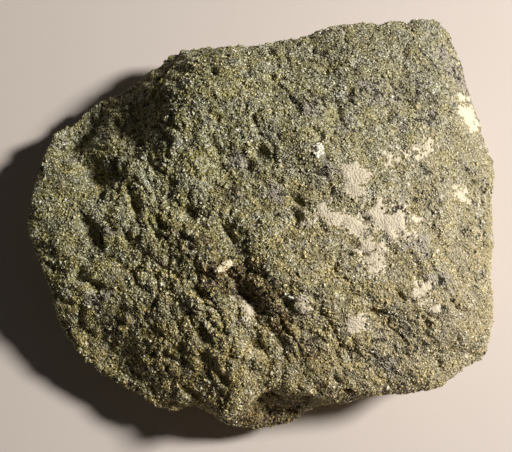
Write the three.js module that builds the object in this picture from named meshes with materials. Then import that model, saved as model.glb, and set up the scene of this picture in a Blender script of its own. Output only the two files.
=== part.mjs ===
// A hand specimen of massive granular olivine (dunite): one stone, broken from a larger block, that
// lies on the flattest part of its underside. Millimetres, +Z up, origin on the table under the middle
// of the stone.
//
// The stone is a rounded pillow drawn out to a hand-set outline. Flat breaks are struck off its flanks
// and shoulders, scarps and swellings shape its upper face, knobs and a cavity shape its front flank,
// and a coarse noise drawn out along the rock's fabric roughens all of it.
import * as THREE from "three";
import { ImprovedNoise } from "three/addons/math/ImprovedNoise.js";

// Driving dimensions. Heights in the lists below are measured from the rim, the stone's widest contour.
const RIM_HEIGHT = 13.5; // the rim above the table
const CROWN = 16; // the top of the pillow above the rim
const CROWN_FULLNESS = 2.6; // 2 is an ellipsoid, more is flatter on top with a tighter edge
const KEEL = 14.6; // the bottom of the pillow below the rim, before the resting face cuts it off
const KEEL_FULLNESS = 2.1;
const FACET_LEVEL = 20; // the icosahedron's detail, which gives 20 * (level + 1)^2 triangles
const FLATTENING = 0.5; // squashes the starting sphere, so that triangles are of one size all over

// The rim seen from above, counter-clockwise from the bulge on its right side.
const RIM = [
  [55.2, 15.6], [51.2, 21], [49.8, 28], [49, 35.2], [48.6, 43], [47.2, 49.6], [43.6, 53], [35, 52.2],
  [29.8, 51], [20, 50.6], [12, 48.8], [4.6, 46.6], [-4, 45.8], [-12.7, 46], [-19, 45.2], [-27, 51],
  [-34.6, 51], [-40.4, 41.4], [-45.6, 31.6], [-52.6, 25.2], [-57, 17.8], [-58, 11.2], [-57.2, 4.3],
  [-56, -2.2], [-53, -10], [-50.4, -17.8], [-46.6, -24.8], [-43, -30.2], [-35.6, -36], [-28, -40],
  [-20.9, -41.8], [-14, -39.8], [-8, -40], [6, -42], [18.3, -39.3], [27.8, -39], [35.4, -39.2],
  [44.4, -35.2], [52, -29.2], [53.6, -25.5], [53.5, -14.3], [55, -3.6], [54.2, 7],
];

// Flat breaks struck off the flanks and shoulders: the way each one faces, and how far it lies from the
// middle of the stone.
const BREAKS = [
  { name: "right end", faces: [1, -0.05, -0.1], distance: 53.5 },
  { name: "upper right chamfer", faces: [0.82, 0.32, 0.48], distance: 57 },
  { name: "back left slope", faces: [-0.42, 0.72, 0.55], distance: 39.2 },
  { name: "upper left slope", faces: [-0.38, 0.22, 0.9], distance: 24 },
  { name: "left slope", faces: [-0.25, 0, 0.968], distance: 16.2 },
  { name: "front left bevel", faces: [-0.24, -0.38, 0.893], distance: 21.5 },
  { name: "front bevel", faces: [0.02, -0.4, 0.916], distance: 21.6 },
  { name: "back bevel", faces: [-0.1, 0.55, 0.83], distance: 31 },
  { name: "right undercut", faces: [0.76, 0.05, -0.65], distance: 41.5 },
  { name: "back right undercut", faces: [0.5, 0.6, -0.62], distance: 58 },
  { name: "back undercut", faces: [0.1, 0.62, -0.78], distance: 34 },
  { name: "left undercut", faces: [-0.8, 0.12, -0.6], distance: 46.5 },
  { name: "front left undercut", faces: [-0.5, -0.6, -0.62], distance: 40.5 },
  { name: "front right undercut", faces: [0.42, -0.68, -0.6], distance: 41 },
];
const RIM_DIP = 3; // the most that scarps and hollows may lower the upper face below the rim
const RELIEF_FROM = -9; // heights between which scarps and swellings come in, from none of them to all
const RELIEF_TO = 1;
const BREAK_CRISPNESS = 36; // the power that rounds the edge between two breaks: more is sharper

// Scarps on the upper face: a step down along a line from one point to another. The ground on the left of
// that line, seen from above, drops over the width of the wall and climbs back over the reach.
const SCARPS = [
  { name: "plateau edge", from: [-25.5, 15], to: [-24.5, 31], drop: 2, wall: 8, reach: 14 },
  { name: "central scarp", from: [7, -30], to: [-5, -15.5], drop: 1.8, wall: 2.5, reach: 6 },
  { name: "left groove", from: [-28.5, 1], to: [-30.2, 11], drop: 2, wall: 2, reach: 4 },
  { name: "upper step", from: [-2.8, 10.2], to: [-7.3, 17.2], drop: 1.3, wall: 2, reach: 6 },
  { name: "middle crack", from: [10, -3.2], to: [5.5, 2.5], drop: 1, wall: 1.5, reach: 3 },
  { name: "front step", from: [-4.9, -38], to: [-12.5, -29.4], drop: 0.8, wall: 2.5, reach: 6 },
];

// Swellings of the upper face, and hollows where the height is negative: soft mounds, long in one direction.
const SWELLINGS = [
  { name: "high ground on the right", at: [26, 2], turn: 90, length: 60, width: 36, height: 3 },
  { name: "upper left brow", at: [-17, 24], turn: 85, length: 20, width: 12, height: 1.5 },
  { name: "upper left hollow", at: [-37.5, 24], turn: 60, length: 12, width: 8, height: -2 },
  { name: "left lump", at: [-38, 16], turn: -40, length: 8, width: 5, height: 0.8 },
  { name: "left shoulder", at: [-47, 16], turn: 60, length: 10, width: 5, height: 1 },
  { name: "left hollow", at: [-40.5, 13], turn: 70, length: 8, width: 6, height: -2.5 },
  { name: "ridge beside the groove", at: [-29.8, 8], turn: 80, length: 11, width: 4.5, height: 1.6 },
  { name: "left hole", at: [-43.7, 6.7], turn: 0, length: 3, width: 3, height: -1.6 },
  { name: "left wart", at: [-34.6, -4.4], turn: 0, length: 3.5, width: 3.5, height: 1.2 },
  { name: "middle left lump", at: [-21.7, -2.5], turn: -60, length: 8, width: 6, height: 1.3 },
  { name: "middle lump", at: [-12.8, -4.8], turn: -60, length: 9, width: 7, height: 1.2 },
  { name: "bulge above the central scarp", at: [4.5, -15.5], turn: -55, length: 20, width: 9, height: 1.7 },
  { name: "front right dip", at: [27.9, -25.5], turn: 20, length: 9, width: 6, height: -1.2 },
  { name: "back right dip", at: [32, 32], turn: 75, length: 12, width: 5, height: -1.2 },
  { name: "back dip", at: [24.6, 23.2], turn: 75, length: 14, width: 6, height: -1 },
  { name: "right notch", at: [44.3, -31], turn: 30, length: 8, width: 4, height: -2 },
  { name: "back edge dip", at: [9.9, 41.4], turn: 0, length: 10, width: 6, height: -1.5 },
];

// Places where the whole stone sags, top and underside together, and with them its rim.
const SAGS = [
  { name: "front left corner", at: [-38, -36], turn: -45, length: 30, width: 20, height: -1 },
];

// Knobs on the flanks, and cavities where the push is negative: soft bumps pushed straight out from the
// middle.
const KNOBS = [
  { name: "front corner", at: [-7.5, -42, 5.5], size: [7, 10, 10], push: 6 },
  { name: "front cavity", at: [3, -41, 1], size: [15, 8, 5.5], push: -6 },
  { name: "front ledge", at: [-2, -40, -8.5], size: [16, 14, 9], push: 10.4 },
];

const FABRIC_TURN = THREE.MathUtils.degToRad(-58); // the fabric's direction from +X, seen from above

// The coarse noise: height, wavelength, and how much longer it is along the rock's fabric. Lumpy noise folds
// at its zero line, so that it makes rounded lumps with sharp grooves between them.
const LUMP_FLOOR = 0.2; // the share of a lumpy noise's height that lies below the plain surface
const ROUGHNESS = [
  { height: 2, wavelength: 17, drawnOut: 1.4, lumpy: false },
  { height: 2.4, wavelength: 11, drawnOut: 1.6, lumpy: true },
  { height: 0.9, wavelength: 6.5, drawnOut: 1.5, lumpy: false },
];

const perlin = new ImprovedNoise();

// How far the rim is from the middle in any direction, along a smooth closed curve through its points.
function rimReach() {
  const corners = RIM.map(([x, y]) => new THREE.Vector3(x, y, 0));
  const samples = new THREE.CatmullRomCurve3(corners, true, "centripetal").getPoints(720);
  const rays = samples.map((p) => ({ angle: Math.atan2(p.y, p.x), reach: Math.hypot(p.x, p.y) }));
  rays.sort((a, b) => a.angle - b.angle);
  return (angle) => {
    const after = Math.max(rays.findIndex((ray) => ray.angle >= angle), 0);
    const high = rays[after];
    const low = rays[(after + rays.length - 1) % rays.length];
    const share = THREE.MathUtils.clamp((angle - low.angle) / (high.angle - low.angle), 0, 1);
    return THREE.MathUtils.lerp(low.reach, high.reach, share);
  };
}

// How far the pillow's skin is from the middle, in a direction: the radius of a superellipsoid over the rim.
function pillowRadius(direction, reachAt) {
  const upper = direction.z > 0;
  const fullness = upper ? CROWN_FULLNESS : KEEL_FULLNESS;
  const flat = Math.hypot(direction.x, direction.y) / reachAt(Math.atan2(direction.y, direction.x));
  const steep = Math.abs(direction.z) / (upper ? CROWN : KEEL);
  return (flat ** fullness + steep ** fullness) ** (-1 / fullness);
}

// The nearest of the pillow and the breaks, with a soft minimum that rounds the edges between them.
function brokenRadius(direction, reachAt) {
  let sum = pillowRadius(direction, reachAt) ** -BREAK_CRISPNESS;
  for (const { faces, distance } of BREAKS) {
    const normal = new THREE.Vector3(...faces).normalize();
    const along = normal.dot(direction);
    if (along > 0) sum += (distance / along) ** -BREAK_CRISPNESS;
  }
  return sum ** (-1 / BREAK_CRISPNESS);
}

// How far a point of the upper face sinks because of one scarp.
function scarpDrop(point, { from, to, drop, wall, reach }) {
  const along = new THREE.Vector2(to[0] - from[0], to[1] - from[1]);
  const length = along.length();
  along.normalize();
  const offset = new THREE.Vector2(point.x - from[0], point.y - from[1]);
  const run = offset.dot(along);
  const beside = along.cross(offset);
  const starts = THREE.MathUtils.smoothstep(run, -wall, wall);
  const ends = THREE.MathUtils.smoothstep(run, length - wall, length + wall);
  const step = THREE.MathUtils.smoothstep(beside, -wall / 2, wall / 2);
  return drop * (starts - ends) * step * Math.exp(-((Math.max(beside, 0) / reach) ** 2));
}

// How far a point of the upper face rises because of one swelling.
function swellingRise(point, { at, turn, length, width, height }) {
  const offset = new THREE.Vector2(point.x - at[0], point.y - at[1]);
  offset.rotateAround(new THREE.Vector2(0, 0), -THREE.MathUtils.degToRad(turn));
  return height * Math.exp(-2 * ((offset.x / length) ** 2 + (offset.y / width) ** 2));
}

// How far one knob pushes a point of the flank outwards.
function knobPush(point, { at, size, push }) {
  const offset = point.clone().sub(new THREE.Vector3(...at)).divide(new THREE.Vector3(...size));
  return push * Math.exp(-2 * offset.lengthSq());
}

// The coarse noise at a point, in millimetres.
function roughnessAt(point) {
  const turned = point.clone().applyAxisAngle(new THREE.Vector3(0, 0, 1), -FABRIC_TURN);
  let total = 0;
  for (const { height, wavelength, drawnOut, lumpy } of ROUGHNESS) {
    const p = turned.clone().divideScalar(wavelength);
    const noise = perlin.noise(p.x / drawnOut + wavelength, p.y, p.z);
    total += height * (lumpy ? Math.abs(noise) - LUMP_FLOOR : noise);
  }
  return total;
}

// One point of the finished skin, for a point of the starting sphere.
function skinPoint(start, reachAt) {
  const direction = new THREE.Vector3(start.x, start.y, start.z * FLATTENING).normalize();
  const point = direction.clone().multiplyScalar(brokenRadius(direction, reachAt));
  const outwards = new THREE.Vector3(direction.x, direction.y, 0).normalize();
  const onTop = THREE.MathUtils.smoothstep(point.z, RELIEF_FROM, RELIEF_TO);
  let lift = 0;
  let push = 0;
  let sag = 0;
  for (const scarp of SCARPS) lift -= scarpDrop(point, scarp);
  for (const swelling of SWELLINGS) lift += swellingRise(point, swelling);
  for (const knob of KNOBS) push += knobPush(point, knob);
  for (const place of SAGS) sag += swellingRise(point, place);
  point.addScaledVector(direction, roughnessAt(point));
  point.addScaledVector(outwards, push);
  const dip = Math.max(lift, -Math.max(point.z, 0) - RIM_DIP);
  point.z += dip * onTop + sag + RIM_HEIGHT;
  point.z = Math.max(point.z, 0); // the flat spot that it rests on
  return point;
}

function makeStone() {
  const geometry = new THREE.IcosahedronGeometry(1, FACET_LEVEL);
  const reachAt = rimReach();
  const position = geometry.getAttribute("position");
  const start = new THREE.Vector3();
  for (let i = 0; i < position.count; i++) {
    start.fromBufferAttribute(position, i);
    position.setXYZ(i, ...skinPoint(start, reachAt).toArray());
  }
  geometry.deleteAttribute("normal");
  geometry.deleteAttribute("uv");
  geometry.computeBoundingBox();
  const middle = geometry.boundingBox.getCenter(new THREE.Vector3());
  geometry.translate(-middle.x, -middle.y, 0);
  const granular = new THREE.MeshStandardMaterial({ color: 0x8d8a5e, roughness: 0.75, metalness: 0 });
  const stone = new THREE.Mesh(geometry, granular);
  stone.name = "olivine_stone";
  return stone;
}

const specimen = new THREE.Group();
specimen.add(makeStone());
export default specimen;
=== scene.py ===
# %% [markdown]
# # A hand specimen of olivine
#
# This stone is nearly pure olivine. It breaks like a lump of coarse brown sugar: the break runs between the
# grains, so its skin is made of grains that stand half out of it, with dark gaps between them. The lesson
# builds that in the same order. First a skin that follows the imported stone, then relief in that skin, then
# tens of thousands of small crystals set into it, and last the colours that weathering has left on them.
#
# Lengths are in millimetres until a mesh is made, because a grain is about one millimetre across.

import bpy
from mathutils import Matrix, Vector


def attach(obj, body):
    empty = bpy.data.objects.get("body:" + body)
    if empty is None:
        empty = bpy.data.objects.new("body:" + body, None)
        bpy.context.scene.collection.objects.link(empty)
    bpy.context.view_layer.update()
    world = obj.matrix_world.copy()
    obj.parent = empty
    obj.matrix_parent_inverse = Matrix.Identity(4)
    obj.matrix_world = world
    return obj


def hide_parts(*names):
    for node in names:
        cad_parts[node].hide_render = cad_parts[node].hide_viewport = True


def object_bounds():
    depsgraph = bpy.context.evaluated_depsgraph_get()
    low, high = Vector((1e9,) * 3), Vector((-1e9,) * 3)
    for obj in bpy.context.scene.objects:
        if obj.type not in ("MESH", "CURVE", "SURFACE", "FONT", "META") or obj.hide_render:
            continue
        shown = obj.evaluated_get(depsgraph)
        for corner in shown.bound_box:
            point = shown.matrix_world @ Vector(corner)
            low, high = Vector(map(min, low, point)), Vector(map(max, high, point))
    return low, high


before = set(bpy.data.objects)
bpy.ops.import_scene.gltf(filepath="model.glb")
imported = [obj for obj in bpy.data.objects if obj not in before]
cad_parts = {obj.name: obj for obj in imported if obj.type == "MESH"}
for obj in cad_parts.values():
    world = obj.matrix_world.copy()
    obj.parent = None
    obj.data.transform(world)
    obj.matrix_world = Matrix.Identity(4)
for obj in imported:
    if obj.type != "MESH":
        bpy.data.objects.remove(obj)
cad_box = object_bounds()
print("the packed stone's box in metres:", [[round(c, 4) for c in corner] for corner in cad_box])

# %% Tools and units
import math

import bpy
import numpy as np
from mathutils import Matrix

MM = 0.001  # metres in a millimetre
packed_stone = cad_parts["olivine_stone"]
low, high = (np.array(corner) / MM for corner in cad_box)
size = high - low
print("the stone measures", size.round(1), "mm")

# %% [markdown]
# ## Noise that numpy can work out for every point at once
#
# Rock has no two places alike, but each place has the same character. Noise gives that: a number for each
# point in space that wanders smoothly over a known distance. Blender has noise in its shaders, but the
# shape of the skin needs it in the mesh, so it is written here for whole arrays of points.
#
# Two kinds are needed. Smooth noise swells and sinks. Crumb noise splits space into cells around scattered
# seeds, as the grains and lumps of a rock fill it, and tells how deep inside its cell a point is.


# %% A number for each cell of space
def cell_number(cell, seed):
    """Whole numbers below 2^32 that look random: the coordinates times large primes, added and mixed."""
    mixed = (cell * np.array([374761393, 668265263, 1440662683])).sum(axis=-1) + seed * 1274126177
    mixed = (mixed ^ (mixed >> 13)) & 0xFFFFFFFF
    mixed = (mixed * 1103515245) & 0xFFFFFFFF
    return (mixed ^ (mixed >> 16)) & 0xFFFFFFFF


print("three cells next to each other:", cell_number(np.array([[0, 0, 0], [1, 0, 0], [0, 1, 0]]), seed=1))


# %% Smooth noise
slopes = np.random.default_rng(3).normal(size=(256, 3))
slopes /= np.linalg.norm(slopes, axis=1, keepdims=True)
NOISE_GAIN = 1.7  # brings the sum of the ramps up to about -1 to 1


def smooth_noise(points, wavelength, seed):
    """From about -1 to 1. Each corner of a lattice has a random slope; a point adds up the eight ramps
    around it, each weighted by how near it is: 6t^5 - 15t^4 + 10t^3 along x, y and z, where t is the way
    across the cell."""
    scaled = points / wavelength
    cell = np.floor(scaled).astype(np.int64)
    inside = scaled - cell
    near = inside**3 * (inside * (inside * 6 - 15) + 10)
    total = np.zeros(len(points))
    for corner in np.ndindex(2, 2, 2):
        slope = slopes[cell_number(cell + corner, seed) & 255]
        weight = np.where(corner, near, 1 - near).prod(axis=1)
        total += weight * (slope * (inside - corner)).sum(axis=1)
    return total * NOISE_GAIN


two_points = np.array([[1.0, 2.0, 3.0], [1.5, 2.0, 3.0]])
print("smooth noise at two points:", smooth_noise(two_points, wavelength=5.0, seed=1).round(2))


# %% Crumb noise
FAR = 9.0  # farther than the nearest seeds can be, in widths


def crumb_noise(points, width, seed):
    """How deep a point is in its crumb, and the crumb's own random share. Each cube of a lattice holds one
    seed point. The depth is the distance to the second nearest seed less the distance to the nearest, in
    widths: 0 on the border between two crumbs, and up to about 1 in the middle of one."""
    scaled = points / width
    cell = np.floor(scaled).astype(np.int64)
    nearest = np.full(len(points), FAR)
    second = np.full(len(points), FAR)
    share = np.zeros(len(points))
    for step in np.ndindex(3, 3, 3):
        other = cell + np.array(step) - 1
        jitter = np.stack([cell_number(other, seed + k) for k in range(3)], axis=1) / 2**32
        distance = np.linalg.norm(other + jitter - scaled, axis=1)
        closer = distance < nearest
        second = np.where(closer, nearest, np.minimum(second, distance))
        share = np.where(closer, jitter[:, 0], share)
        nearest = np.where(closer, distance, nearest)
    return second - nearest, share


depths, shares = crumb_noise(two_points, width=2.0, seed=1)
print("depths there:", depths.round(2), "and the crumbs' shares:", shares.round(2))


# %% The rock's fabric
# Olivine rock has flowed slowly in the mantle, which drew its grains and cracks out along one direction.
FABRIC = math.radians(-58)  # that direction from +X, seen from above


def along_fabric(points, drawn_out):
    """Points turned to have x along the fabric, and squeezed along x, so that noise there is drawn out."""
    x = points[:, 0] * math.cos(FABRIC) + points[:, 1] * math.sin(FABRIC)
    y = points[:, 1] * math.cos(FABRIC) - points[:, 0] * math.sin(FABRIC)
    return np.stack([x / drawn_out, y, points[:, 2]], axis=1)


print("the fabric runs at", round(math.degrees(FABRIC)), "degrees")

# %% [markdown]
# ## The skin
#
# The real skin is one closed surface of broken rock. It could be sculpted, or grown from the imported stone
# by cutting its triangles smaller, but those are long on the flanks and short on top. Here it starts as a
# box with a square grid on each side instead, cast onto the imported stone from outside, as cling film is
# drawn onto a loaf. That spaces its points evenly all over, and leaves no pole where triangles crowd
# together.


# %% A grid on the six sides of a box
def box_grid(cells):
    """Whole-numbered points on the outside of a box of cells, and the quads between them. Each side is a
    grid of two parameters, u and v. Points that two sides share have the same three numbers, so np.unique
    closes the seams."""
    points, quads, count = [], [], 0
    for axis in range(3):
        u_axis, v_axis = (axis + 1) % 3, (axis + 2) % 3
        u, v = np.meshgrid(np.arange(cells[u_axis] + 1), np.arange(cells[v_axis] + 1), indexing="ij")
        index = np.arange(u.size).reshape(u.shape)
        corners = [index[:-1, :-1], index[1:, :-1], index[1:, 1:], index[:-1, 1:]]
        square = np.stack(corners, axis=-1).reshape(-1, 4)
        for side in (0, cells[axis]):
            grid = np.empty((u.size, 3), np.int64)
            grid[:, axis] = side
            grid[:, u_axis] = u.ravel()
            grid[:, v_axis] = v.ravel()
            points.append(grid)
            quads.append((square if side else square[:, ::-1]) + count)
            count += u.size
    unique, where = np.unique(np.concatenate(points), axis=0, return_inverse=True)
    return unique, where.reshape(-1)[np.concatenate(quads)]


SPACING = 0.60  # between the skin's points
box_cells = np.round(size / SPACING).astype(int)
grid_points, skin_quads = box_grid(box_cells)
print("skin grid:", box_cells, "cells,", len(grid_points), "points,", 2 * len(skin_quads), "triangles")


# %% From numpy arrays to a mesh
def make_mesh(name, points, faces, smooth):
    """A mesh object at the origin, from points in millimetres and faces as rows of point numbers."""
    mesh = bpy.data.meshes.new(name)
    mesh.vertices.add(len(points))
    mesh.vertices.foreach_set("co", (points * MM).astype(np.float32).ravel())
    mesh.loops.add(faces.size)
    mesh.loops.foreach_set("vertex_index", faces.astype(np.int32).ravel())
    mesh.polygons.add(len(faces))
    mesh.polygons.foreach_set("loop_start", np.arange(0, faces.size, faces.shape[1], dtype=np.int32))
    mesh.polygons.foreach_set("use_smooth", np.full(len(faces), smooth))
    mesh.update(calc_edges=True)
    piece = bpy.data.objects.new(name, mesh)
    bpy.context.scene.collection.objects.link(piece)
    return piece


def read_points(mesh):
    """A mesh's points in millimetres, one row each."""
    flat = np.empty(len(mesh.vertices) * 3, np.float32)
    mesh.vertices.foreach_get("co", flat)
    return flat.reshape(-1, 3).astype(float) / MM


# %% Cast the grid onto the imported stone
def cast_onto(target, cells, points, quads):
    """The grid's points where lines from far outside to the stone's middle first meet the stone."""
    middle = (low + high) / 2
    rays = (points / cells - 0.5) * size
    rays /= np.linalg.norm(rays, axis=1, keepdims=True)
    film = make_mesh("cast_film", middle + rays * size.max(), quads, True)
    wrap = film.modifiers.new("wrap", "SHRINKWRAP")
    wrap.target = target
    wrap.wrap_method = "PROJECT"
    wrap.use_positive_direction = False
    wrap.use_negative_direction = True
    settled = film.evaluated_get(bpy.context.evaluated_depsgraph_get()).to_mesh()
    landed = read_points(settled)
    bpy.data.objects.remove(film)
    return landed


skin = cast_onto(packed_stone, box_cells, grid_points, skin_quads)
print("the film landed between", skin.min(0).round(1), "and", skin.max(0).round(1))


# %% Relax it, and find which way it faces
def neighbour_pairs(quads):
    """Each edge of the quads as a pair of point numbers, once in each direction."""
    return np.concatenate([np.stack([quads[:, k], quads[:, (k + 1) % 4]], axis=1) for k in range(4)])


def relax(points, pairs, rounds):
    """Each round moves every point half-way to its neighbours' average, which rounds off flat facets."""
    count = np.bincount(pairs[:, 0], minlength=len(points))[:, None]
    for _ in range(rounds):
        total = [np.bincount(pairs[:, 0], points[pairs[:, 1], k], len(points)) for k in range(3)]
        points = (points + np.stack(total, axis=1) / count) / 2
    return points


def outward(points, quads):
    """The unit direction that the skin faces at each point: its quads' crossed diagonals, added up."""
    across = np.cross(points[quads[:, 2]] - points[quads[:, 0]], points[quads[:, 3]] - points[quads[:, 1]])
    total = [sum(np.bincount(quads[:, k], across[:, i], len(points)) for k in range(4)) for i in range(3)]
    total = np.stack(total, axis=1)
    return total / np.linalg.norm(total, axis=1, keepdims=True)


skin_pairs = neighbour_pairs(skin_quads)
skin = relax(skin, skin_pairs, rounds=16)
facing = outward(skin, skin_quads)
print("faces up:", round(float((facing[:, 2] > 0).mean()), 2), "of the points")

# %% [markdown]
# ## Relief in the skin
#
# From a few steps away the stone shows ledges and hollows of a centimetre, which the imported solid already
# has. Closer, it shows lumps of a few millimetres with sharp grooves between them, where the break has run
# round knots of grains. Those are crumb noise: high in the middle of a crumb and low at its border. Thin
# cracks run along the fabric, where smooth noise crosses zero, and pits open where it is high. A shader
# could push the surface about like this as it renders, but the grains have to stand on the true surface, so
# the relief goes into the mesh.
#
# Most of it is carved inwards. The whole skin is moved out a little to make up for that, so that the tips
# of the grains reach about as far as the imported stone.

# %% Four kinds of relief
CRUMB_TOP = 0.3  # the height of a crumb's middle
GROOVE = 4  # how steeply a crumb falls off towards its border
CRACK_WIDTH = 0.085  # half the width of a crack, as a share of the noise's height
RISE = 3  # how fast cracks and pits deepen as the noise goes up
CRACK_START, PIT_START = 0.3, 0.42  # where they begin


def swell(place, width, seed):
    """Smooth noise, from about -1 to 1."""
    return smooth_noise(place, width, seed)


def crumbs(place, width, seed):
    """Rounded lumps with sharp grooves: CRUMB_TOP - exp(-GROOVE * depth in the crumb), -0.7 to 0.3."""
    return CRUMB_TOP - np.exp(-GROOVE * crumb_noise(place, width, seed)[0])


def cracks(place, width, seed):
    """-exp(-(noise / CRACK_WIDTH)^2): -1 along thin wandering lines, only where a second noise is high."""
    line = np.exp(-((smooth_noise(place, width, seed) / CRACK_WIDTH) ** 2))
    return -line * np.clip(RISE * smooth_noise(place, 0.9 * width, seed + 50) - CRACK_START, 0, 1)


def pits(place, width, seed):
    """-1 in scattered pits, where smooth noise is high, and 0 between them: -RISE * (noise - PIT_START),
    kept from -1 to 0."""
    return -np.clip(RISE * (smooth_noise(place, width, seed) - PIT_START), 0, 1)


print("a crumb's middle stands at", CRUMB_TOP, "and its border at", round(CRUMB_TOP - 1, 1))

# %% How much of each kind
RELIEF = [  # kind, width in mm, drawn out how much, height in mm at the left end and at the right
    (swell, 9.0, 2.0, 0.75, 0.55),
    (crumbs, 5.0, 1.6, 0.75, 0.40),
    (crumbs, 2.4, 1.5, 0.50, 0.36),
    (crumbs, 1.3, 1.3, 0.34, 0.28),
    (cracks, 5.0, 1.8, 0.75, 0.70),
    (pits, 3.6, 1.8, 1.90, 0.95),
]
LEFT_END, RIGHT_END = -40, 45  # x in mm, between which the heights change over
LIFT = 0.25  # how far the whole skin is moved out, in mm


def relief_height(points):
    """Millimetres to add along the skin's facing: the kinds of noise in RELIEF, added up. The weathered
    right end is worn smoother than the left."""
    height = np.zeros(len(points))
    for seed, (kind, width, drawn_out, left, right) in enumerate(RELIEF, start=11):
        tall = np.interp(points[:, 0], [LEFT_END, RIGHT_END], [left, right])
        height += tall * kind(along_fabric(points, drawn_out), width, seed)
    return height


height = relief_height(skin)
print("relief from", height.min().round(2), "to", height.max().round(2), "mm")

# %% Hollows in the top
HOLLOWS = [  # x, y, half length, half width, turn in degrees, depth in mm
    (-29.0, 25.0, 8.0, 5.5, 80, 2.6), (-29.0, 35.0, 5.5, 4.0, 60, 2.4), (-43.0, 22.5, 14.0, 7.0, 56, 5.6),
    (-38.5, 11.0, 7.0, 4.0, -30, 3.0), (-28.3, 2.2, 4.6, 1.5, -75, 2.1), (-44.3, 8.4, 1.8, 1.3, -40, 1.3),
    (-36.6, 4.6, 3.2, 0.9, 60, 1.2), (-23.0, -5.8, 3.4, 1.2, -60, 1.6), (-12.1, -1.8, 2.2, 1.0, -30, 1.2),
    (-1.6, -20.6, 7.0, 2.1, -44, 2.4), (-0.5, -25.0, 2.4, 1.8, -58, 1.3),
    (-11.5, -33.5, 2.6, 1.8, -50, 1.5), (14.0, 7.6, 2.6, 1.0, -30, 0.9), (9.0, 0.5, 4.2, 1.1, -45, 1.3),
    (3.5, -44.2, 6.0, 2.2, 5, 2.8), (-8.0, -37.8, 2.6, 1.3, -50, 1.6), (-8.0, -41.8, 2.0, 1.2, -20, 1.3),
    (-33.0, -32.0, 24.0, 8.0, -41, 2.8), (-0.6, -30.8, 4.0, 2.2, -40, 2.2),
]
FADE_START, FADE_LENGTH = 0.2, 0.15  # where they fade out near the table, as shares of the stone's height


def hollow_depth(points):
    """Millimetres that the hollows press the top down: each is depth * exp(-2 * (a^2 + b^2)), where a and b
    are how far the point is from its middle along and across it, in half lengths and half widths."""
    depth = np.zeros(len(points))
    for x, y, length, width, turn, deepest in HOLLOWS:
        cos, sin = math.cos(math.radians(turn)), math.sin(math.radians(turn))
        away_x, away_y = points[:, 0] - x, points[:, 1] - y
        along, across = (away_x * cos + away_y * sin) / length, (away_y * cos - away_x * sin) / width
        depth += deepest * np.exp(-2 * (along**2 + across**2))
    return depth * np.clip((points[:, 2] / size[2] - FADE_START) / FADE_LENGTH, 0, 1)


hollow = hollow_depth(skin)
print(len(HOLLOWS), "hollows, the deepest", hollow.max().round(2), "mm")

# %% [markdown]
# ## Stains and chalky patches
#
# Weathering has left cream powder on some places, a brown stain along the scarp and knots of dark and grey
# minerals. Each is a share from 0 to 1 at every point, made from a list of places: the radius less the
# distance to the place, with each small crumb of rock moved in or out by its own random share, so that the
# patch ends along the grains.
#
# The shares go into the mesh as attributes, which the material reads by name. A painted picture could hold
# them too, but it would blur close up, and it would have to be laid out over tens of thousands of grains.

# %% Where the patches are
CHALK = [  # x, y, radius
    (20.6, 6.6, 2.1), (22.0, 4.6, 2.4), (22.4, 2.4, 2.1), (23.6, 0.9, 1.3), (10.3, -3.0, 0.8),
    (12.5, -3.3, 1.1), (14.6, -2.4, 1.3), (16.5, -3.4, 1.2), (18.2, -3.9, 1.8), (20.4, -4.8, 2.1),
    (21.6, -6.2, 1.4), (26.5, -2.8, 2.2), (28.3, -4.7, 2.4), (30.6, -5.8, 2.0), (30.8, -2.6, 1.4),
    (32.9, -6.9, 1.2), (35.9, -3.2, 1.3), (24.3, -10.0, 2.3), (25.2, -12.3, 2.5), (25.9, -14.0, 1.4),
    (30.5, 10.4, 1.6), (34.2, 11.4, 1.4), (36.6, 12.6, 1.7), (38.6, 13.7, 1.4), (45.6, 3.1, 1.3),
    (48.3, 27.7, 1.3), (49.3, 24.8, 1.7), (50.1, 21.8, 1.4), (22.0, -26.5, 1.9), (36.4, -19.3, 1.7),
    (37.6, -21.6, 1.2), (39.5, -23.3, 1.5), (9.9, -23.0, 1.8), (-2.4, -22.8, 1.7),
]
RUST = [
    (-11.7, -9.5, 2.3), (-9.2, -14.0, 3.8), (-4.2, -17.2, 3.3), (1.6, -20.5, 3.5), (4.2, -25.0, 2.4),
    (-5.7, 3.2, 2.3), (12.0, -31.5, 2.0), (-1.5, -47.0, 3.0), (3.5, -46.5, 3.2), (8.5, -45.5, 2.4),
]
SLATE = [
    (3.9, 2.2, 1.8), (44.3, 37.7, 2.2), (46.6, 35.0, 2.7), (48.2, 32.6, 2.2), (-36.0, -19.1, 2.2),
    (35.0, -8.8, 2.4), (-5.1, 11.0, 1.8), (28.0, 26.0, 1.9), (24.6, 27.5, 1.4), (21.5, 25.7, 1.5),
    (31.5, 25.1, 1.4), (11.9, 23.1, 1.8), (28.7, -35.1, 2.0), (-34.6, -4.6, 1.4), (15.7, 7.0, 1.8),
    (31.5, -0.8, 1.6), (40.0, -17.0, 1.5), (36.0, 30.0, 1.6), (40.5, 22.0, 1.5), (20.0, 17.5, 1.5),
    (33.0, 18.5, 1.3),
]
print("places of chalk, rust and slate:", len(CHALK), len(RUST), len(SLATE))


# %% From places to shares
EDGE = 0.3  # how wide the edge of a patch is, in mm
HALO_WIDTH = 4.5  # how far the thin powder around a chalky patch reaches, in mm
EDGE_CRUMBS = (3.0, 1.4, 0.7)  # the widths of the crumbs that move an edge, in mm
STAINED_FROM = 0.25  # nothing lower than this share of the stone's height is stained


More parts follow.
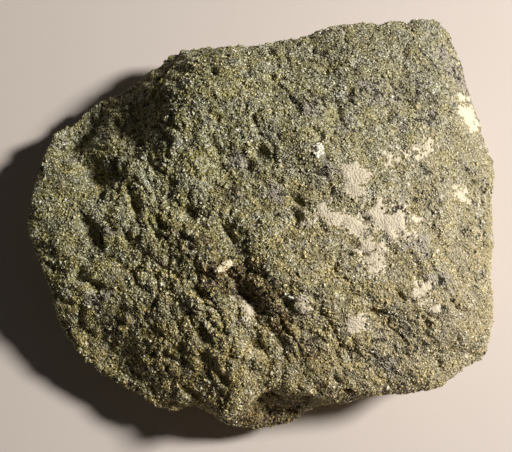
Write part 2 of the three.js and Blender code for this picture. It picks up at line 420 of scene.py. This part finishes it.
def patch_share(points, places, ragged, seed, halo=0.0):
    """From 0 to 1: 1 inside any of the places, 0 outside, with an edge that crumbs move by up to ragged mm.
    The halo's share of it fades out over HALO_WIDTH instead."""
    reach = [radius - np.hypot(points[:, 0] - x, points[:, 1] - y) for x, y, radius in places]
    inside = np.max(reach, axis=0)
    for k, width in enumerate(EDGE_CRUMBS):
        inside += ragged * (crumb_noise(points, width, seed + k)[1] - 0.5)
    solid = np.clip(inside / EDGE + 0.5, 0, 1)
    faint = np.clip(1 + inside / HALO_WIDTH, 0, 1)
    upper = points[:, 2] > size[2] * STAINED_FROM
    return (solid * (1 - halo) + halo * faint) * upper


def stain_shares(points):
    """The shares of chalk, rust and slate at points, by name."""
    return {
        "chalk": patch_share(points, CHALK, ragged=1.6, seed=41, halo=0.4),
        "rust": patch_share(points, RUST, ragged=3.0, seed=43),
        "slate": patch_share(points, SLATE, ragged=2.2, seed=45),
    }


def add_shares(piece, shares):
    """Stores each named array as an attribute of the mesh, one number for each point."""
    for name, values in shares.items():
        layer = piece.data.attributes.new(name, "FLOAT", "POINT")
        layer.data.foreach_set("value", values.astype(np.float32))


skin_stains = stain_shares(skin)
print({name: int(share.sum()) for name, share in skin_stains.items()}, "points of each stain")

# %% [markdown]
# Powder fills the pits that it lies in, so the relief is only a third as deep under it. With the relief
# added along its facing and the hollows pressed straight down, the skin is made a mesh.


# %% Carve the relief and make the skin
FILL = 0.65  # the share of the relief that thick powder fills


def rest_flat(points):
    """Nothing reaches below the table: z is raised to 0 where it is less."""
    return np.column_stack([points[:, :2], np.maximum(points[:, 2], 0)])


filled = 1 - FILL * skin_stains["chalk"] ** 2
skin = skin + facing * (height * filled + LIFT)[:, None]
skin[:, 2] -= hollow
skin = rest_flat(skin)
facing = outward(skin, skin_quads)
stone = make_mesh("stone_skin", skin, skin_quads, True)
add_shares(stone, skin_stains)
print(stone.name, "has", len(stone.data.polygons), "quads")

# %% [markdown]
# ## The grains
#
# Each grain of olivine is a blocky crystal about a millimetre across. An eight-sided block with its corners
# moved about is enough at this size: its flat sides catch the light one by one, which makes the stone
# glitter.
#
# Blender could scatter copies of one grain with a particle system or geometry nodes. Here tens of thousands
# of different grains are worked out together, as one array with a row for each, so that the mesh can carry
# each grain's own tint and its stains. Every block is partly sunk in the skin, and small ones fill in
# between the large.


# %% Scatter places over the skin
UNDERSIDE = -0.3  # skin whose facing has a lower z than this is underside
UNDERSIDE_SHARE = 0.5  # how densely the underside is covered, next to the rest
ON_TABLE = 0.4  # a quad whose corners' heights add up to less, in mm, lies on the table and gets no grains


def scatter(points, quads, facing, count, rng):
    """Random places on the skin, spread evenly over its area, with the way the skin faces there. A quad is
    picked with a chance in proportion to its area, and a place on it by two parameters, u and v, between
    its corners."""
    a, b, c, d = (points[quads[:, k]] for k in range(4))
    area = np.linalg.norm(np.cross(c - a, d - b), axis=1)
    area *= np.where(facing[quads[:, 0], 2] < UNDERSIDE, UNDERSIDE_SHARE, 1)
    area *= a[:, 2] + b[:, 2] + c[:, 2] + d[:, 2] > ON_TABLE
    chosen = rng.choice(len(quads), count, p=area / area.sum())
    u, v = rng.random((2, count, 1))
    corners = quads[chosen]
    weights = [(1 - u) * (1 - v), u * (1 - v), u * v, (1 - u) * v]
    place = sum(w * points[corners[:, k]] for k, w in enumerate(weights))
    normal = sum(w * facing[corners[:, k]] for k, w in enumerate(weights))
    return place, normal / np.linalg.norm(normal, axis=1, keepdims=True)


few_places, few_normals = scatter(skin, skin_quads, facing, 3, np.random.default_rng(0))
print("three places on the skin:", few_places.round(1).tolist())


# %% Make crystals at those places
CORNERS = np.array([[1, 0, 0], [-1, 0, 0], [0, 1, 0], [0, -1, 0], [0, 0, 1], [0, 0, -1]], float)
SIDES = np.array([[0, 2, 4], [2, 1, 4], [1, 3, 4], [3, 0, 4], [2, 0, 5], [1, 2, 5], [3, 1, 5], [0, 3, 5]])
STRETCH = (0.7, 1.3)  # the least and the most that a block is stretched along each axis
JITTER = 0.22  # how far a corner may move, as a share of the radius


def random_turns(count, rng):
    """A random rotation matrix for each grain, from a random unit quaternion."""
    w, x, y, z = rng.normal(size=(4, count))
    length = np.sqrt(w * w + x * x + y * y + z * z)
    w, x, y, z = w / length, x / length, y / length, z / length
    rows = [
        [1 - 2 * (y * y + z * z), 2 * (x * y - z * w), 2 * (x * z + y * w)],
        [2 * (x * y + z * w), 1 - 2 * (x * x + z * z), 2 * (y * z - x * w)],
        [2 * (x * z - y * w), 2 * (y * z + x * w), 1 - 2 * (x * x + y * y)],
    ]
    return np.array(rows).transpose(2, 0, 1)


def crystals(places, radii, rng):
    """Points and triangles of a block at each place: its six corners stretched, jittered and turned."""
    count = len(places)
    stretch = rng.uniform(*STRETCH, (count, 1, 3))
    jitter = rng.uniform(-JITTER, JITTER, (count, len(CORNERS), 3))
    corners = (CORNERS + jitter) * stretch * radii[:, None, None]
    corners = np.einsum("gij,gcj->gci", random_turns(count, rng), corners)
    points = (corners + places[:, None, :]).reshape(-1, 3)
    triangles = (SIDES + len(CORNERS) * np.arange(count)[:, None, None]).reshape(-1, 3)
    return points, triangles


few_points, few_triangles = crystals(few_places, np.ones(3), np.random.default_rng(0))
print("three blocks have", len(few_points), "corners and", len(few_triangles), "sides")


# %% One piece of grains
SMALLEST, LARGEST = 0.5, 1.9  # limits on a grain's size, as shares of the usual one
UNEVEN = 0.35  # how much more or less than the usual a grain may be sunk, as a share of its size
POWDERED = 0.9  # how much deeper powder buries a grain, as a share of its size
ROOM = 0.3  # how far a grain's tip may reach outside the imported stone's box, in mm


def grain_piece(name, count, radius, spread, sunk, seed):
    """One piece of grains: scattered, sized by a log-normal law around the radius, and sunk into the skin
    by a share of their size."""
    rng = np.random.default_rng(seed)
    place, normal = scatter(skin, skin_quads, facing, count, rng)
    radii = radius * np.exp(spread * rng.normal(size=count)).clip(SMALLEST, LARGEST)
    stains = stain_shares(place)
    depth = rng.uniform(sunk - UNEVEN, sunk + UNEVEN, count) + POWDERED * stains["chalk"] ** 2
    place = place - normal * (radii * depth)[:, None]
    points, triangles = crystals(place, radii, rng)
    points = np.clip(points, [low[0] - ROOM, low[1] - ROOM, 0], high + ROOM)
    piece = make_mesh(name, points, triangles, False)
    shares = {"tint": rng.random(count), **stains}
    add_shares(piece, {key: np.repeat(values, len(CORNERS)) for key, values in shares.items()})
    print(name, "holds", count, "grains and", len(triangles), "triangles")
    return piece


# %% Set them in four layers
LAYERS = [  # name, how many, radius in mm, spread of sizes, share sunk
    ("olivine_grains_coarse", 15000, 0.38, 0.25, 0.45),
    ("olivine_grains_medium", 24500, 0.29, 0.25, 0.3),
    ("olivine_grains_fine", 24500, 0.24, 0.25, 0.2),
    ("olivine_grains_loose", 24500, 0.21, 0.25, 0.05),
]
grains = [grain_piece(*layer, seed=100 + k) for k, layer in enumerate(LAYERS)]

# %% [markdown]
# A few pale crystals stand out by themselves: a golden one at the top of the scarp, a white knot, and a
# sliver that is a painted glint, pale blocks where a glint of light shows. One smooth lump would look like
# a pebble, so each is a nest of the same blocks, packed into an oval.


# %% Pale crystals
NESTS = [  # x, y, half length and half width in mm, turn in degrees, how many blocks, their radius
    (-7.7, -14.0, 1.8, 0.35, 27, 20, 0.85),
    (13.6, 12.0, 1.6, 1.2, 100, 120, 0.38),
    # The sliver: pale blocks that stand in for a glint of light, a painted glint.
    (-2.2, -38.3, 0.7, 0.1, 80, 8, 0.20),
]
UPWARDS = 0.2  # skin whose facing has a higher z than this carries nests
PROUD = 0.5  # how far a block's middle stands above the skin, as a share of its radius


def nest(x, y, length, width, turn, count, radius, rng):
    """Places in an oval on the upper skin, and their radii. A place is the square root of a random share of
    the way from the middle to the edge, which spreads places evenly; its height is the nearest skin
    point's."""
    way, share = rng.random((2, count))
    along = length * np.sqrt(share) * np.cos(math.tau * way)
    across = width * np.sqrt(share) * np.sin(math.tau * way)
    cos, sin = math.cos(math.radians(turn)), math.sin(math.radians(turn))
    flat = np.column_stack([x + along * cos - across * sin, y + along * sin + across * cos])
    upper = skin[facing[:, 2] > UPWARDS]
    gaps = np.linalg.norm(flat[:, None] - upper[None, :, :2], axis=2)
    return np.column_stack([flat, upper[gaps.argmin(axis=1), 2] + PROUD * radius]), np.full(count, radius)


rng = np.random.default_rng(200)
places, radii = (np.concatenate(parts) for parts in zip(*(nest(*row, rng) for row in NESTS)))
block_points, block_sides = crystals(places, radii, rng)
pale = make_mesh("pale_crystals", block_points, block_sides, False)
print("pale_crystals has", len(block_sides), "triangles")

# %% [markdown]
# ## Materials
#
# The colours of the skin and of the grains are the same thing at two scales, so both use one node group. It
# takes a grain's own random tint and the three shares, and gives the colour, the roughness and how much
# powder lies there.
#
# Patterns read Object coordinates, which here are metres from the middle of the table under the stone.


# %% Helpers for node trees
def add_node(tree, kind, x, y, **settings):
    """A node of that kind at a place in the editor, with its settings."""
    node = tree.nodes.new(kind)
    node.location = (x, y)
    for key, value in settings.items():
        setattr(node, key, value)
    return node


def plug(tree, socket, value):
    """Links a socket to another socket, or sets it to a plain value."""
    if isinstance(value, bpy.types.NodeSocket):
        tree.links.new(value, socket)
    else:
        socket.default_value = value


# %% Helpers that work out colours and numbers
def mix_colours(tree, share, first, second, x, y, blend="MIX"):
    """Mixes the first colour into the second by a share."""
    mix = add_node(tree, "ShaderNodeMix", x, y, data_type="RGBA", blend_type=blend)
    for number, value in ((0, share), (6, first), (7, second)):
        plug(tree, mix.inputs[number], value)
    return mix.outputs[2]


def calculate(tree, operation, x, y, *values):
    """One step of arithmetic on sockets or numbers. MULTIPLY_ADD is first times second plus third."""
    node = add_node(tree, "ShaderNodeMath", x, y, operation=operation)
    for socket, value in zip(node.inputs, values):
        plug(tree, socket, value)
    return node.outputs[0]


def ease(tree, value, x, y, start, end, low_value=0.0, high_value=1.0):
    """From the low value to the high one as the value goes from start to end, and flat outside them."""
    node = add_node(tree, "ShaderNodeMapRange", x, y)
    names = ("Value", "From Min", "From Max", "To Min", "To Max")
    for name, setting in zip(names, (value, start, end, low_value, high_value)):
        plug(tree, node.inputs[name], setting)
    return node.outputs["Result"]


def noise_at(tree, place, x, y, cycles, detail=3.0, roughness=0.6):
    """Blender's own noise read at a place, in cycles per millimetre. It stays within about 0.3 to 0.7."""
    node = add_node(tree, "ShaderNodeTexNoise", x, y)
    tree.links.new(place, node.inputs["Vector"])
    node.inputs["Scale"].default_value = cycles / MM
    node.inputs["Detail"].default_value = detail
    node.inputs["Roughness"].default_value = roughness
    return node.outputs["Fac"]


# %% A group with named sockets
def new_group(name, inputs, outputs):
    """An empty shader node group, with its input and output nodes."""
    tree = bpy.data.node_groups.new(name, "ShaderNodeTree")
    for side, sockets in (("INPUT", inputs), ("OUTPUT", outputs)):
        for socket, kind in sockets.items():
            tree.interface.new_socket(socket, in_out=side, socket_type="NodeSocket" + kind)
    return tree, add_node(tree, "NodeGroupInput", -1400, 0), add_node(tree, "NodeGroupOutput", 1500, 0)


stains_in = {"Chalk": "Float", "Rust": "Float", "Slate": "Float"}
group, given, result = new_group(
    "grain_colour",
    {"Place": "Vector", "Tint": "Float", "Shade": "Float", **stains_in},
    {"Colour": "Color", "Roughness": "Float", "Powder": "Float"},
)
place, tint = given.outputs["Place"], given.outputs["Tint"]
print("sockets:", [item.name for item in group.interface.items_tree])

# %% [markdown]
# ### The olivine itself
#
# Fresh grains run from dark bottle green to straw. One number, the tone, chooses a colour from a ramp of
# four. It adds up the grain's own tint, some noise inside the grain and some that drifts over half a
# centimetre.

# %% Tone
TINT_WEIGHT, INSIDE_WEIGHT, DRIFT_WEIGHT = 0.62, 1.7, 0.55
TONE_MIDDLE = 0.93  # taken off, to bring the tone to between 0 and 1
DARK_OLIVE = (0.095, 0.081, 0.026, 1)
OLIVE = (0.33, 0.288, 0.112, 1)
PALE_OLIVE = (0.60, 0.525, 0.300, 1)
STRAW = (0.93, 0.86, 0.66, 1)

inside_grain = noise_at(group, place, -1200, 300, cycles=2.2, detail=1.0)
drifting = noise_at(group, place, -1200, 100, cycles=0.22)
tone = calculate(group, "MULTIPLY", -1100, 400, inside_grain, INSIDE_WEIGHT)
tone = calculate(group, "MULTIPLY_ADD", -1000, 300, tint, TINT_WEIGHT, tone)
tone = calculate(group, "MULTIPLY_ADD", -850, 300, drifting, DRIFT_WEIGHT, tone)
tone = calculate(group, "SUBTRACT", -700, 300, tone, TONE_MIDDLE)
ramp = add_node(group, "ShaderNodeValToRGB", -550, 300)
group.links.new(tone, ramp.inputs["Fac"])
stops = ramp.color_ramp.elements
stops[0].position, stops[0].color = 0.05, DARK_OLIVE
stops[1].position, stops[1].color = 0.95, STRAW
stops.new(0.30).color = OLIVE
stops.new(0.62).color = PALE_OLIVE
print("olivine: ramp of", len(stops), "colours")

# %% [markdown]
# Then the ramp's colour is shifted. The front is browner than the back. Cool and warm patches of a few
# grains keep neighbours from looking alike. The right end is paler. The few grains with the highest tint
# are made nearly white: painted glints.

# %% Hue, the paler right end and painted glints
GREENER = (0.97, 1.00, 1.00, 1)
BROWNER = (1.07, 0.98, 0.86, 1)
COOL = (0.97, 1.00, 1.08, 1)
WARM = (1.05, 1.00, 0.74, 1)
PALE_RIGHT_END = (0.61, 0.53, 0.40, 1)
GLINT_WHITE = (0.95, 0.91, 0.76, 1)
MOST_PALING, MOST_GLINT = 0.34, 0.8  # how much of a grain's colour the paler right end and a painted glint take over

split = add_node(group, "ShaderNodeSeparateXYZ", -1200, -100)
group.links.new(place, split.inputs["Vector"])
to_front = calculate(group, "MULTIPLY", -1150, -50, split.outputs["Y"], -1.0)
to_front = calculate(group, "MULTIPLY_ADD", -1000, -50, split.outputs["X"], 0.5, to_front)
brown = ease(group, to_front, -850, -50, start=-15 * MM, end=40 * MM)
hue = mix_colours(group, brown, GREENER, BROWNER, -550, 50)
colour = mix_colours(group, 1.0, ramp.outputs["Color"], hue, -250, 300, blend="MULTIPLY")
patchy = noise_at(group, place, -1200, -250, cycles=0.28, detail=2.0, roughness=0.5)
tinge = mix_colours(group, ease(group, patchy, -850, -200, start=0.38, end=0.62), COOL, WARM, -550, -150)
colour = mix_colours(group, 1.0, colour, tinge, -150, 150, blend="MULTIPLY")
# The colour is paler towards the right end, by x.
paler_right = ease(group, split.outputs["X"], -1000, -350, start=-10 * MM, end=45 * MM, high_value=MOST_PALING)
colour = mix_colours(group, paler_right, colour, PALE_RIGHT_END, -50, 300)
# Painted glints: the grains with the highest tint are made nearly white, standing in for glints of light.
painted_glint = ease(group, tint, -200, -50, start=0.955, end=0.965, high_value=MOST_GLINT)
colour = mix_colours(group, painted_glint, colour, GLINT_WHITE, 100, 300)
# Painted shade: the colour is multiplied by Shade, which darkens the bare skin between the grains.
colour = mix_colours(group, 1.0, colour, given.outputs["Shade"], 200, 300, blend="MULTIPLY")
print("grain_colour has", len(group.nodes), "nodes so far")

# %% [markdown]
# ### Specks, stains and powder
#
# Dark specks of chromite lie along the fabric all over the stone, where noise is high, and crowd in the
# slate places. A finer pepper lies between them, thicker towards the back. The rust darkens every grain a
# little. Inside it, patches almost black are painted shade of the gaps. Powder covers what is under it.

# %% Specks
STREAK = 2.2  # how much longer than wide the specks are
CROWDING, SLATE_SPECKS = 0.7, 0.11  # how much a broad noise and the slate raise the noise that makes specks
BACK_PEPPER = 0.07  # how much the noise that makes pepper is raised at the back

streak = add_node(group, "ShaderNodeMapping", -1200, -600, vector_type="TEXTURE")
streak.inputs["Rotation"].default_value = (0, 0, FABRIC)
streak.inputs["Scale"].default_value = (STREAK, 1, 1)
group.links.new(place, streak.inputs["Vector"])
specks = noise_at(group, streak.outputs["Vector"], -1000, -600, cycles=1.2, detail=2.0)
crowd = noise_at(group, place, -1000, -800, cycles=0.09, detail=2.0)
specks = calculate(group, "MULTIPLY_ADD", -800, -600, crowd, CROWDING, specks)
specks = calculate(group, "MULTIPLY_ADD", -650, -600, given.outputs["Slate"], SLATE_SPECKS, specks)
specks = ease(group, specks, -500, -600, start=1.00, end=1.04)
pepper = noise_at(group, place, -1000, -1000, cycles=2.4, detail=1.0)
to_back = ease(group, split.outputs["Y"], -1000, -1200, start=0.0, end=30 * MM, high_value=BACK_PEPPER)
pepper = calculate(group, "ADD", -800, -1000, pepper, to_back)
pepper = ease(group, pepper, -650, -1000, start=0.64, end=0.68)
specks = calculate(group, "MAXIMUM", -350, -600, specks, pepper)
print("grain_colour has", len(group.nodes), "nodes so far")

# %% Stains and powder
RUST_STAIN = (0.66, 0.57, 0.47, 1)
GAP_SHADE_BLACK = (0.030, 0.022, 0.012, 1)
CHROMITE = (0.056, 0.044, 0.020, 1)
GREY_GRAIN = (0.46, 0.40, 0.31, 1)
CHALK_CREAM = (0.76, 0.645, 0.455, 1)
MOST_GREY = 0.85  # how much of a grain's colour slate takes over
POWDER_GRAIN = 1.6  # how much the noise inside a grain matters to whether powder covers it

raw_grain = noise_at(group, place, -250, -300, cycles=1.4)
# Painted shade: inside the rust, noise patches are made almost black, standing in for shaded gaps.
painted_gap_shade = ease(group, raw_grain, -50, -300, start=0.50, end=0.56)
stained = mix_colours(group, 1.0, colour, RUST_STAIN, 300, 50, blend="MULTIPLY")
stained = mix_colours(group, painted_gap_shade, stained, GAP_SHADE_BLACK, 450, 50)
colour = mix_colours(group, given.outputs["Rust"], colour, stained, 600, 300)
greyed = calculate(group, "MULTIPLY", 450, -150, given.outputs["Slate"], MOST_GREY)
colour = mix_colours(group, greyed, colour, GREY_GRAIN, 750, 300)
colour = mix_colours(group, specks, colour, CHROMITE, 900, 300)

powder = calculate(group, "MULTIPLY_ADD", 450, -450, inside_grain, POWDER_GRAIN, given.outputs["Chalk"])
powder = ease(group, powder, 600, -450, start=1.30, end=1.42)
colour = mix_colours(group, powder, colour, CHALK_CREAM, 1100, 300)
group.links.new(colour, result.inputs["Colour"])
group.links.new(powder, result.inputs["Powder"])
print("grain_colour has", len(group.nodes), "nodes so far")

# %% [markdown]
# ### Roughness
#
# A fresh grain face is glassy and an old one dull. About a fifth of the grains are glossy, so that single
# grains glint in the light. They are chosen by lot: the fraction that is left of a multiple of their tint.
# Powder is never glossy.

# %% Which grains glint
GLOSSY_SHARE = 0.2
SHUFFLE = 7.3  # the multiple of the tint
DULL, POLISH, POWDER_ROUGHNESS = 0.65, -0.45, 0.9  # a dull grain's roughness, what gloss adds, and powder's
lot = calculate(group, "FRACT", 300, -700, calculate(group, "MULTIPLY", 150, -700, tint, SHUFFLE))
glossy = calculate(group, "LESS_THAN", 450, -700, lot, GLOSSY_SHARE)
rough = calculate(group, "MULTIPLY_ADD", 600, -700, glossy, POLISH, DULL)
powdery = calculate(group, "MULTIPLY", 750, -800, powder, POWDER_ROUGHNESS)
rough = calculate(group, "MAXIMUM", 900, -700, rough, powdery)
group.links.new(rough, result.inputs["Roughness"])
print("grain_colour has", len(group.nodes), "nodes")

# %% [markdown]
# ### A material for the skin, and one for the grains
#
# Both use the group, and differ in where a tint comes from. A block carries its own in the mesh. The bare
# skin between the blocks has none, so a Voronoi pattern splits it into pebbles, and each pebble draws a
# tint and stands proud.


# %% What the two materials share
CALM = 0.55  # the share of the fine bumps that shows through powder


def stone_material(name, tint_at, shade):
    """A Principled shader whose colour and roughness come from the grain_colour group. The tint's socket is
    made by a function, because the skin and the grains find theirs in different ways."""
    material = bpy.data.materials.new(name)
    material.use_nodes = True
    tree = material.node_tree
    shader = tree.nodes["Principled BSDF"]
    where = add_node(tree, "ShaderNodeTexCoord", -1300, 0).outputs["Object"]
    colours = add_node(tree, "ShaderNodeGroup", -400, 100)
    colours.node_tree = group
    tint_socket, height_socket = tint_at(tree, where)
    for socket, value in (("Place", where), ("Tint", tint_socket), ("Shade", shade)):
        plug(tree, colours.inputs[socket], value)
    for row, socket in enumerate(stains_in):
        share = add_node(tree, "ShaderNodeAttribute", -900, -400 - 180 * row, attribute_name=socket.lower())
        tree.links.new(share.outputs["Fac"], colours.inputs[socket])
    tree.links.new(colours.outputs["Colour"], shader.inputs["Base Color"])
    tree.links.new(colours.outputs["Roughness"], shader.inputs["Roughness"])
    powder = colours.outputs["Powder"]
    calm = ease(tree, powder, -200, -300, start=0.0, end=1.0, low_value=1.0, high_value=CALM)
    bump = add_node(tree, "ShaderNodeBump", -50, -300)
    bump.inputs["Distance"].default_value = MM
    tree.links.new(calculate(tree, "MULTIPLY", -100, -500, height_socket, calm), bump.inputs["Height"])
    tree.links.new(bump.outputs["Normal"], shader.inputs["Normal"])
    return material


# %% Where a tint comes from
PEBBLE = 0.48  # the size of the pebbles in the bare skin, in mm
PEBBLE_HEIGHT, SKIN_PITS, GRAIN_PITS = 0.30, 0.3, 0.12  # the heights of the fine bumps, in mm
SKIN_PAINTED_SHADE = 0.7  # painted shade: the bare skin lies in the gaps between the grains, and its colour is multiplied by this


def skin_tint(tree, where):
    """A Voronoi pattern splits the bare skin into pebbles, each with a random tint and a proud middle."""
    cells = add_node(tree, "ShaderNodeTexVoronoi", -1100, 300)
    tree.links.new(where, cells.inputs["Vector"])
    cells.inputs["Scale"].default_value = 1 / (PEBBLE * MM)
    split_tint = add_node(tree, "ShaderNodeSeparateColor", -900, 300)
    tree.links.new(cells.outputs["Color"], split_tint.inputs["Color"])
    proud = calculate(tree, "MULTIPLY", -900, 100, cells.outputs["Distance"], -PEBBLE_HEIGHT)
    pitted = noise_at(tree, where, -1100, -200, cycles=2.5)
    proud = calculate(tree, "MULTIPLY_ADD", -750, 100, pitted, SKIN_PITS, proud)
    return split_tint.outputs["Red"], proud


def grain_tint(tree, where):
    """Each grain carries its tint in the mesh, and fine noise pits its faces."""
    own = add_node(tree, "ShaderNodeAttribute", -900, 300, attribute_name="tint")
    pitted = noise_at(tree, where, -1100, -200, cycles=3.0)
    return own.outputs["Fac"], calculate(tree, "MULTIPLY", -750, 100, pitted, GRAIN_PITS)


# Painted shade: the bare skin's colour is darkened for the gaps between the grains.
skin_material = stone_material("broken_skin", skin_tint, shade=SKIN_PAINTED_SHADE)
grain_material = stone_material("olivine_crystal", grain_tint, shade=1.0)
stone.data.materials.append(skin_material)
for piece in grains:
    piece.data.materials.append(grain_material)

# %% The pale crystals' material
HONEY, CREAM, MILK = (0.92, 0.74, 0.42, 1), (0.96, 0.88, 0.66, 1), (0.97, 0.90, 0.76, 1)
MILK_FROM, MILK_TO = 0.0, 10 * MM  # the knot lies to the right of the golden crystal, so x tells them apart

pale_material = bpy.data.materials.new("pale_crystal")
pale_material.use_nodes = True
pale_tree = pale_material.node_tree
pale_shader = pale_tree.nodes["Principled BSDF"]
pale_place = add_node(pale_tree, "ShaderNodeTexCoord", -800, 0).outputs["Object"]
cloudy = noise_at(pale_tree, pale_place, -600, 0, cycles=1.5)
golden = mix_colours(pale_tree, ease(pale_tree, cloudy, -400, 0, start=0.4, end=0.6), HONEY, CREAM, -200, 0)
along = add_node(pale_tree, "ShaderNodeSeparateXYZ", -600, 200)
pale_tree.links.new(pale_place, along.inputs["Vector"])
to_knot = ease(pale_tree, along.outputs["X"], -400, 200, start=MILK_FROM, end=MILK_TO)
crystal_colour = mix_colours(pale_tree, to_knot, golden, MILK, 0, 100)
pale_tree.links.new(crystal_colour, pale_shader.inputs["Base Color"])
pale_shader.inputs["Roughness"].default_value = 0.2
pale.data.materials.append(pale_material)
print("materials:", [material.name for material in bpy.data.materials])

# %% [markdown]
# ## Tell the frame which piece stands for what
#
# The skin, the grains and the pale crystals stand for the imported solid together, and ride on its one body.

# %% Frame calls
for piece in [stone, *grains, pale]:
    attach(piece, "root")
    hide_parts("olivine_stone")
print("pieces:", 2 + len(grains))

# %% [markdown]
# ## Floor, light and camera
#
# The stone lies on a plain pale floor. One low lamp on the right shows the relief best, as raking light
# does on any rough surface, and a weak even sky keeps the shadows from going black. The camera looks down
# steeply from the front.

# %% The floor
FLOOR_REACH = 2000.0  # from its middle to a side, in mm
FLOOR_COLOUR = (0.72, 0.62, 0.54, 1)
floor_corners = np.array([[-1, -1, 0], [1, -1, 0], [1, 1, 0], [-1, 1, 0]]) * FLOOR_REACH
floor = make_mesh("floor", floor_corners, np.array([[0, 1, 2, 3]]), False)
floor_material = bpy.data.materials.new("pale_floor")
floor_material.use_nodes = True
floor_shader = floor_material.node_tree.nodes["Principled BSDF"]
floor_shader.inputs["Base Color"].default_value = FLOOR_COLOUR
floor_shader.inputs["Roughness"].default_value = 0.9
floor.data.materials.append(floor_material)
print("floor:", 2 * FLOOR_REACH * MM, "m wide")


# %% Aim a camera or a lamp
def aim(thing, target, azimuth, elevation, distance):
    """Puts a thing at a distance in mm from a target, aimed at it. Azimuth is from +X, in degrees."""
    a, e = math.radians(azimuth), math.radians(elevation)
    back = np.array([math.cos(a) * math.cos(e), math.sin(a) * math.cos(e), math.sin(e)])
    thing.location = (np.array(target) + back * distance) * MM
    across = np.array([-math.sin(a), math.cos(a), 0.0])
    up = np.cross(back, across)
    rows = np.column_stack([across, up, back])
    thing.rotation_mode = "QUATERNION"
    thing.rotation_quaternion = Matrix(rows.tolist()).to_quaternion()
    bpy.context.scene.collection.objects.link(thing)


# %% The camera
camera = bpy.data.objects.new("camera", bpy.data.cameras.new("camera"))
camera.data.lens = 85
camera.data.sensor_width = 36
camera.data.clip_start, camera.data.clip_end = 0.01, 10
aim(camera, target=(-0.37, -1.71, 16), azimuth=-90, elevation=77, distance=283.5)
bpy.context.scene.camera = camera
print("camera at", [round(c, 3) for c in camera.location])

# %% The lamp and the sky
key = bpy.data.objects.new("key_lamp", bpy.data.lights.new("key_lamp", "AREA"))
key.data.shape = "DISK"
key.data.size = 125 * MM
key.data.energy = 5.9
aim(key, target=(0, 0, 20), azimuth=10.5, elevation=38.5, distance=640)

world = bpy.data.worlds.new("studio")
bpy.context.scene.world = world
world.use_nodes = True
sky = world.node_tree.nodes["Background"]
sky.inputs["Color"].default_value = (1.0, 0.97, 0.93, 1)
sky.inputs["Strength"].default_value = 0.03
bpy.context.scene.view_settings.view_transform = "Standard"
print("lamp at", [round(c, 3) for c in key.location])
